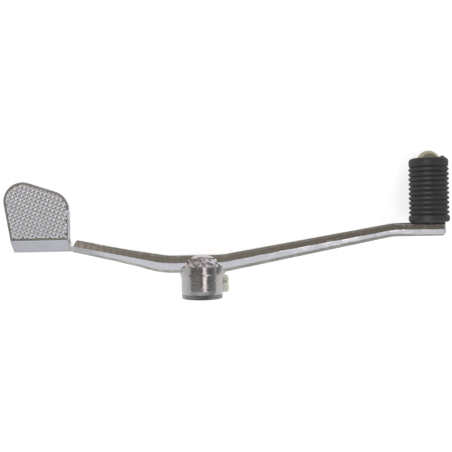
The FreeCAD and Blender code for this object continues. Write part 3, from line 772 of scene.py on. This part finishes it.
def rubberSleeve(s, reach):
    # outside profile: ridges as a power of a sine, a swollen flange at the foot and a rounded lip; then the
    # recess for the peg's head and the bore, all carried round
    length = s["end"] - s["base"]
    y = np.linspace(0, length - s["short"], s["steps"])
    pitch = (length - s["flangeLength"] - s["lipLength"]) / s["ridges"]
    rib = np.abs(np.sin(np.pi * (y - s["flangeLength"]) / pitch)) ** s["ridgePower"]
    foot = np.clip(y / s["flangeLength"], 0, 1)
    swell = (1 - np.abs(2 * foot - 1) ** s["flangePowers"][0]) ** s["flangePowers"][1]
    radius = s["valley"] + np.where(y < s["flangeLength"], (s["flange"] - s["valley"]) * swell,
                                    (s["ridge"] - s["valley"]) * rib)
    up = np.clip((y - length + s["lipLength"]) / s["lipLength"], 0, 1)
    rise = np.clip(up / s["lipRise"], 0, 1)
    lip = s["valley"] + (s["lip"] - s["valley"]) * np.sqrt(1 - (1 - rise) ** 2)
    lip = lip - quarterRound(length - y, s["lipRound"])
    radius = np.where(up > 0, lip, radius)
    floor = s["recessFloor"] - s["base"]
    inside = np.array([
        (s["recess"] + s["recessEdge"][0], length), (s["recess"], length - s["recessEdge"][1]),
        (s["recess"], floor), (s["bore"], floor),
        (s["bore"], s["boreEdge"]), (s["bore"] + s["boreEdge"], 0.0)])
    radius, along = np.concatenate([radius, inside[:, 0]]), np.concatenate([y, inside[:, 1]])
    return closedRing(revolve(radius, along, (reach, s["base"], 0), s["turns"]))


def mouldNub(s, reach):
    # small stub left by the mould on the lip's end: a pin with a domed top, carried round
    t = np.linspace(0, 1, s["nubSteps"])[1:-1]
    dome = s["nub"] * np.sqrt(1 - t ** s["nubPower"])
    radius = np.concatenate([[pole, s["nub"], s["nub"]], dome, [pole]])
    along = np.concatenate([[-s["nubSink"], -s["nubSink"], 0], s["nubHeight"] * t, [s["nubHeight"]]])
    return closedTube(revolve(radius, along, (reach + s["nubReach"], s["end"], s["nubRise"]), s["nubTurns"]))


makePiece("pegRubber", [make(sleeveSizes, pegSizes["reach"]) for make in (rubberSleeve, mouldNub)],
          sleeveRubber, "peg_rubber", 60)


# pinch bolt
boltSizes = {
    "seat": 13.2, "length": 28.0, "radius": 4.0, "drop": 11.85, "tip": 0.9,
    "thread": 1.25, "threadDepth": 0.32, "threadFrom": 8.0, "threadFade": 2.0,
    "flats": 12.0, "head": 5.5, "turn": 20.0, "chamfer": 40.0, "crown": 4.9, "crownEdge": 0.4, "inFace": 2.0,
    "washer": 0.25, "hexFrom": 0.3, "turns": 144, "shankSteps": 260, "headSteps": 40,
}


def pinchBolt(s):
    # radius over turn and length: a thread helix on the shank, then a hexagon cut back by a chamfer cone
    angle = np.linspace(0, 2 * np.pi, s["turns"], endpoint=False)[None, :]
    tip, last = s["seat"] - s["length"], s["seat"] + s["head"]
    shank = np.linspace(tip, s["seat"], s["shankSteps"])[:, None]
    thread = np.abs(((shank / s["thread"] - angle / (2 * np.pi)) % 1) * 2 - 1)
    deep = np.clip((s["threadFrom"] - shank) / s["threadFade"], 0, 1)
    r = s["radius"] - s["threadDepth"] * thread * deep
    r = np.minimum(r, s["radius"] - s["tip"] + (shank - tip))
    corner, steep = s["flats"] / math.sqrt(3), math.tan(math.radians(s["chamfer"]))
    local = (angle - math.radians(s["turn"])) % (np.pi / 3) - np.pi / 6
    hexagon = s["flats"] / 2 / np.cos(local)
    fall = (corner - s["crown"]) * steep
    x = s["seat"] + np.concatenate([[0.0, s["washer"]], np.linspace(s["hexFrom"], s["head"], s["headSteps"])])
    x = x[:, None]
    head = np.minimum(hexagon, corner - (x - last + fall) / steep)
    head[0] = s["flats"] / 2 - s["washer"]  # washer face under the head
    face = np.array([[s["crown"] - s["crownEdge"]], [s["inFace"]], [pole]]) + 0 * angle
    r = np.concatenate([pole + 0 * angle, r, head, face])
    a = np.concatenate([[[tip]], shank, x, [[last]] * len(face)]) + 0 * angle
    return closedTube(np.stack([a, r * np.cos(angle), -s["drop"] + r * np.sin(angle)], -1))


makePiece("pinchBolt", [pinchBolt(boltSizes)], boltZinc, "pinch_bolt", 25)


# floor, in metres
floorSizes = {"z": -0.0196, "half": 6.0, "colour": (0.90, 0.90, 0.90), "roughness": 0.9, "lift": 0.64}


def paleFloor(s):
    # white floor: diffuse, so it keeps the shadow, lifted to white for the camera and for reflections
    half = s["half"]
    mesh = bpy.data.meshes.new("paleFloor")
    corners = ((-half, -half), (half, -half), (half, half), (-half, half))
    mesh.from_pydata([(x, y, s["z"]) for x, y in corners], [], [(0, 1, 2, 3)])
    floor = bpy.data.objects.new("paleFloor", mesh)
    bpy.context.scene.collection.objects.link(floor)
    finish, tree, shader = newFinish("paleFloor")
    shader.inputs["Base Color"].default_value = (*s["colour"], 1)
    shader.inputs["Roughness"].default_value = s["roughness"]
    path = addNode(tree, "ShaderNodeLightPath").outputs
    seen = combine(tree, path["Is Camera Ray"], path["Is Glossy Ray"], "MAXIMUM")
    seen = combine(tree, seen, path["Is Transmission Ray"], "MAXIMUM")
    shader.inputs["Emission Color"].default_value = (1, 1, 1, 1)
    tree.links.new(spread(tree, seen, 0, 1, 0, s["lift"]), shader.inputs["Emission Strength"])
    mesh.materials.append(finish)


paleFloor(floorSizes)

# sky, in degrees off the zenith: colour bands across the lever, from the inboard to the outboard horizon;
# a level along the lever, from heel to toe, for the light bands and for the dark one overhead; and a soft box
skySizes = {
    "bands": [
        (-90, (0.54, 0.53, 0.48)), (-68, (0.54, 0.53, 0.48)), (-64, (0.68, 0.70, 0.74)),
        (-44, (0.70, 0.72, 0.77)), (-26, (0.84, 0.87, 0.94)), (-12, (0.76, 0.78, 0.84)),
        (-8, (0.15, 0.135, 0.11)), (6, (0.14, 0.125, 0.105)), (13, (0.23, 0.205, 0.17)),
        (46, (0.24, 0.21, 0.18)), (50, (0.95, 0.93, 0.97)), (58, (0.95, 0.93, 0.97)),
        (63, (0.25, 0.23, 0.19)), (90, (0.28, 0.26, 0.22)),
    ],
    "lightAlong": [
        (-90, 1.3), (-68, 1.3), (-64, 0.8), (-30, 0.9), (-16, 1.05), (0, 1.0), (18, 0.95), (45, 0.7),
        (84, 0.6), (90, 1.0),
    ],
    "darkAlong": [
        (-90, 4.0), (-68, 4.0), (-63, 0.6), (-47, 0.7), (-37, 1.2), (-20, 1.6), (-15.5, 1.6), (-14, 2.7),
        (-13, 2.5), (-11.5, 1.3), (-10, 1.15), (3, 0.95), (11, 0.8), (16, 0.68), (22, 0.72), (45, 0.75),
        (54, 0.55), (84, 0.5), (90, 2.0),
    ],
    "darkReach": (-12, -8, 46, 50),
    "boxAcross": (19, 25, 52, 60), "boxAlong": (20, 27), "boxColour": (1.05, 1.05, 1.12),
    "horizon": (0.93, 0.93, 0.93), "horizonSpan": (0.10, 0.16), "strength": 1.0,
    "most": 4.0,  # ramps stop at 1, so levels are held as a share of this
}


def skyRamp(tree, lean, stops):
    # colour stops laid out over half a turn, from -90 to 90 degrees off the zenith
    ramp = addNode(tree, "ShaderNodeValToRGB")
    elements = ramp.color_ramp.elements
    while len(elements) < len(stops):
        elements.new(0.5)
    for element, (degrees, colour) in zip(elements, stops):
        element.position = (degrees + 90) / 180
        element.color = (*colour, 1)
    tree.links.new(spread(tree, lean, -math.pi / 2, math.pi / 2, 0.0, 1.0), ramp.inputs["Fac"])
    return ramp.outputs["Color"]


def studioSky(s):
    # colour by the angle across the lever, atan2(y, z), times a level by the angle along it, atan2(x, z),
    # with a soft box ahead of the toe on the outboard side, blending to pale at the horizon all round
    world = bpy.data.worlds.new("studioSky")
    bpy.context.scene.world = world
    world.use_nodes = True
    tree = world.node_tree
    way = axes(tree, addNode(tree, "ShaderNodeTexCoord").outputs["Generated"])
    leanY = combine(tree, way["Y"], way["Z"], "ARCTAN2")
    leanX = combine(tree, way["X"], way["Z"], "ARCTAN2")
    light, dark = (skyRamp(tree, leanX, [(degrees, (value / s["most"],) * 3) for degrees, value in s[along]])
                   for along in ("lightAlong", "darkAlong"))
    level = blend(tree, within(tree, leanY, np.radians(s["darkReach"])), light, dark)
    sky = blend(tree, 1.0, skyRamp(tree, leanY, s["bands"]), level, "MULTIPLY")
    sky = blend(tree, 1.0, sky, (s["most"],) * 3, "MULTIPLY")
    ahead = spread(tree, leanX, *np.radians(s["boxAlong"]), 0.0, 1.0)
    inBox = combine(tree, within(tree, leanY, np.radians(s["boxAcross"])), ahead, "MULTIPLY")
    sky = blend(tree, inBox, sky, s["boxColour"])
    high = spread(tree, way["Z"], *s["horizonSpan"], 0.0, 1.0)
    sky = blend(tree, high, s["horizon"], sky)
    back = tree.nodes["Background"]
    back.inputs["Strength"].default_value = s["strength"]
    tree.links.new(sky, back.inputs["Color"])


studioSky(skySizes)

lampSizes = {
    "place": (0.29, -0.09, 0.95), "aim": (0, 0, 0), "size": 0.32, "power": 0.6, "colour": (1.0, 0.92, 0.96),
}


def softLamp(name, s):
    # round lamp turned to its aim: tilted by the angle off the vertical, then turned by the heading
    data = bpy.data.lights.new(name, "AREA")
    data.shape, data.size, data.energy, data.color = "DISK", s["size"], s["power"], s["colour"]
    lamp = bpy.data.objects.new(name, data)
    bpy.context.scene.collection.objects.link(lamp)
    away = np.array(s["place"]) - np.array(s["aim"])
    tilt, heading = math.acos(away[2] / np.linalg.norm(away)), math.atan2(away[1], away[0])
    lamp.location = s["place"]
    lamp.rotation_euler = (tilt, 0, heading + math.pi / 2)


softLamp("topLamp", lampSizes)

cameraSizes = {"place": (17.1, 40.7, 435.0), "roll": -1.03, "lens": 50.31, "sensor": 36.0, "near": 0.01}


def topCamera(s):
    # camera straight above, rolled a little about its own axis
    view = bpy.data.cameras.new("topView")
    view.sensor_width, view.lens, view.clip_start = s["sensor"], s["lens"], s["near"]
    camera = bpy.data.objects.new("topView", view)
    bpy.context.scene.collection.objects.link(camera)
    camera.location = np.array(s["place"]) * mm
    camera.rotation_euler = (0, 0, math.radians(s["roll"]))
    bpy.context.scene.camera = camera


topCamera(cameraSizes)
bpy.context.scene.view_settings.view_transform = "Standard"
print("stage set")
